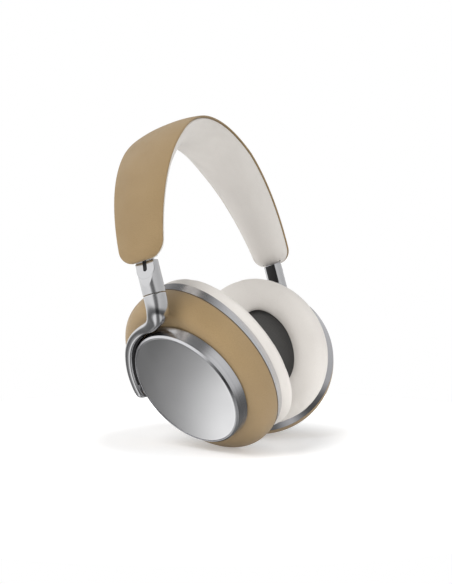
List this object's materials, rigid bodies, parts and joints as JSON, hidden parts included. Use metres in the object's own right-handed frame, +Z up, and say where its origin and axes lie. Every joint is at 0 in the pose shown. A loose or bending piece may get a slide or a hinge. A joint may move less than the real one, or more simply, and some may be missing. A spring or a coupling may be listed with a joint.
{
  "type": "over ear headphones",
  "caption": "Over-ear headphones: leather-covered sprung headband with a cushion, sliding cast arms, swivelling and tilting oval ear cups with round metal discs and soft ear pads.",
  "frame": {"origin": "middle of the underside of the headband cushion, where it rests on the top of the head", "axes": "+Z up, +X to the wearer's left, -Y to the front"},
  "size_m": [0.176, 0.0885, 0.1857],
  "materials": {
    "tan_leather": "fine grained leather, satin",
    "cream_leather": "soft smooth leather, matt",
    "polished_aluminium": "cast and polished",
    "satin_aluminium": "finely turned with a bright cut edge",
    "disc_face": "satin grey anodised, spun",
    "black_plastic": "moulded",
    "spring_steel": "rolled",
    "bearing_brass": "turned",
    "speaker_mesh": "woven acoustic mesh",
    "circuit_board": "glass-fibre board",
    "battery_foil": "foil pouch",
    "driver_cone": "pressed fibre cone",
    "magnet_steel": "ground",
    "button_metal": "satin"
  },
  "bodies": {
    "headband": {"band_core": "spring_steel", "flex_cable": "black_plastic", "guide_screws": "spring_steel", "headband_cover": "tan_leather", "headband_cushion": "cream_leather", "left_slider_guide": "black_plastic", "right_slider_guide": "black_plastic"},
    "right_slider": {"right_slider_blade": "polished_aluminium", "right_upper_arm": "polished_aluminium", "right_slot_liner": "black_plastic", "right_swivel_bush": "bearing_brass"},
    "right_arm": {"right_lower_arm": "polished_aluminium", "right_swivel_pin": "spring_steel"},
    "right_cup": {"charging_socket": "spring_steel", "right_antenna_board": "circuit_board", "right_baffle": "black_plastic", "right_baffle_screws": "spring_steel", "right_circuit_board": "circuit_board", "right_disc_ring": "satin_aluminium", "right_driver_cone": "driver_cone", "right_driver_frame": "black_plastic", "right_driver_magnet": "magnet_steel", "right_driver_mesh": "speaker_mesh", "right_ear_pad": "cream_leather", "right_face_plate": "disc_face", "right_outer_shell": "tan_leather", "right_pad_plate": "black_plastic", "right_pivot_block": "spring_steel", "right_ring_spacer": "black_plastic", "right_tilt_pin": "spring_steel", "right_trim_ring": "satin_aluminium"},
    "left_slider": {"left_slider_blade": "polished_aluminium", "left_upper_arm": "polished_aluminium", "left_slot_liner": "black_plastic", "left_swivel_bush": "bearing_brass"},
    "left_arm": {"left_lower_arm": "polished_aluminium", "left_swivel_pin": "spring_steel"},
    "left_cup": {"battery": "battery_foil", "left_antenna_board": "circuit_board", "left_baffle": "black_plastic", "left_baffle_screws": "spring_steel", "left_circuit_board": "circuit_board", "left_disc_ring": "satin_aluminium", "left_driver_cone": "driver_cone", "left_driver_frame": "black_plastic", "left_driver_magnet": "magnet_steel", "left_driver_mesh": "speaker_mesh", "left_ear_pad": "cream_leather", "left_face_plate": "disc_face", "left_outer_shell": "tan_leather", "left_pad_plate": "black_plastic", "left_pivot_block": "spring_steel", "left_ring_spacer": "black_plastic", "left_tilt_pin": "spring_steel", "left_trim_ring": "satin_aluminium"},
    "volume_up_button": {"volume_up_button": "button_metal"},
    "play_button": {"play_button": "button_metal"},
    "volume_down_button": {"volume_down_button": "button_metal"},
    "power_switch": {"power_switch": "black_plastic"},
    "quick_button": {"quick_button": "button_metal"}
  },
  "joints": [
    {"name": "right_size_slide", "type": "slide", "parent": "headband", "child": "right_slider", "axis": [-0.2756, 0, -0.9613], "range_m": [0, 0.018]},
    {"name": "right_swivel", "type": "hinge", "parent": "right_slider", "child": "right_arm", "pos_m": [-0.082, 0.0003, -0.0861], "axis": [0, 0, 1], "range_deg": [-60, 34]},
    {"name": "right_tilt", "type": "hinge", "parent": "right_arm", "child": "right_cup", "pos_m": [-0.04025, 0.04411, -0.12902], "axis": [-0.4369, -0.8976, 0.0586], "range_deg": [-30, 0]},
    {"name": "left_size_slide", "type": "slide", "parent": "headband", "child": "left_slider", "axis": [0.2756, 0, -0.9613], "range_m": [0, 0.018]},
    {"name": "left_swivel", "type": "hinge", "parent": "left_slider", "child": "left_arm", "pos_m": [0.082, 0.0003, -0.0861], "axis": [0, 0, -1], "range_deg": [-60, 34]},
    {"name": "left_tilt", "type": "hinge", "parent": "left_arm", "child": "left_cup", "pos_m": [0.04025, 0.04411, -0.12902], "axis": [-0.4369, 0.8976, -0.0586], "range_deg": [-30, 0]},
    {"name": "volume_up_button_press", "type": "slide", "parent": "right_cup", "child": "volume_up_button", "axis": [-0.5112, -0.812, 0.2816], "range_m": [0, 0.0005], "stiffness_N_per_m": 1500, "springref_m": -0.0003},
    {"name": "play_button_press", "type": "slide", "parent": "right_cup", "child": "play_button", "axis": [-0.5489, -0.7015, 0.4546], "range_m": [0, 0.0005], "stiffness_N_per_m": 1500, "springref_m": -0.0003},
    {"name": "volume_down_button_press", "type": "slide", "parent": "right_cup", "child": "volume_down_button", "axis": [-0.5626, -0.554, 0.6136], "range_m": [0, 0.0005], "stiffness_N_per_m": 1500, "springref_m": -0.0003},
    {"name": "power_switch_slide", "type": "slide", "parent": "right_cup", "child": "power_switch", "axis": [0.1352, 0.856, 0.4989], "range_m": [-0.0012, 0.0012]},
    {"name": "quick_button_press", "type": "slide", "parent": "left_cup", "child": "quick_button", "axis": [0.5489, -0.7015, 0.4546], "range_m": [0, 0.0005], "stiffness_N_per_m": 1500, "springref_m": -0.0003}
  ]
}
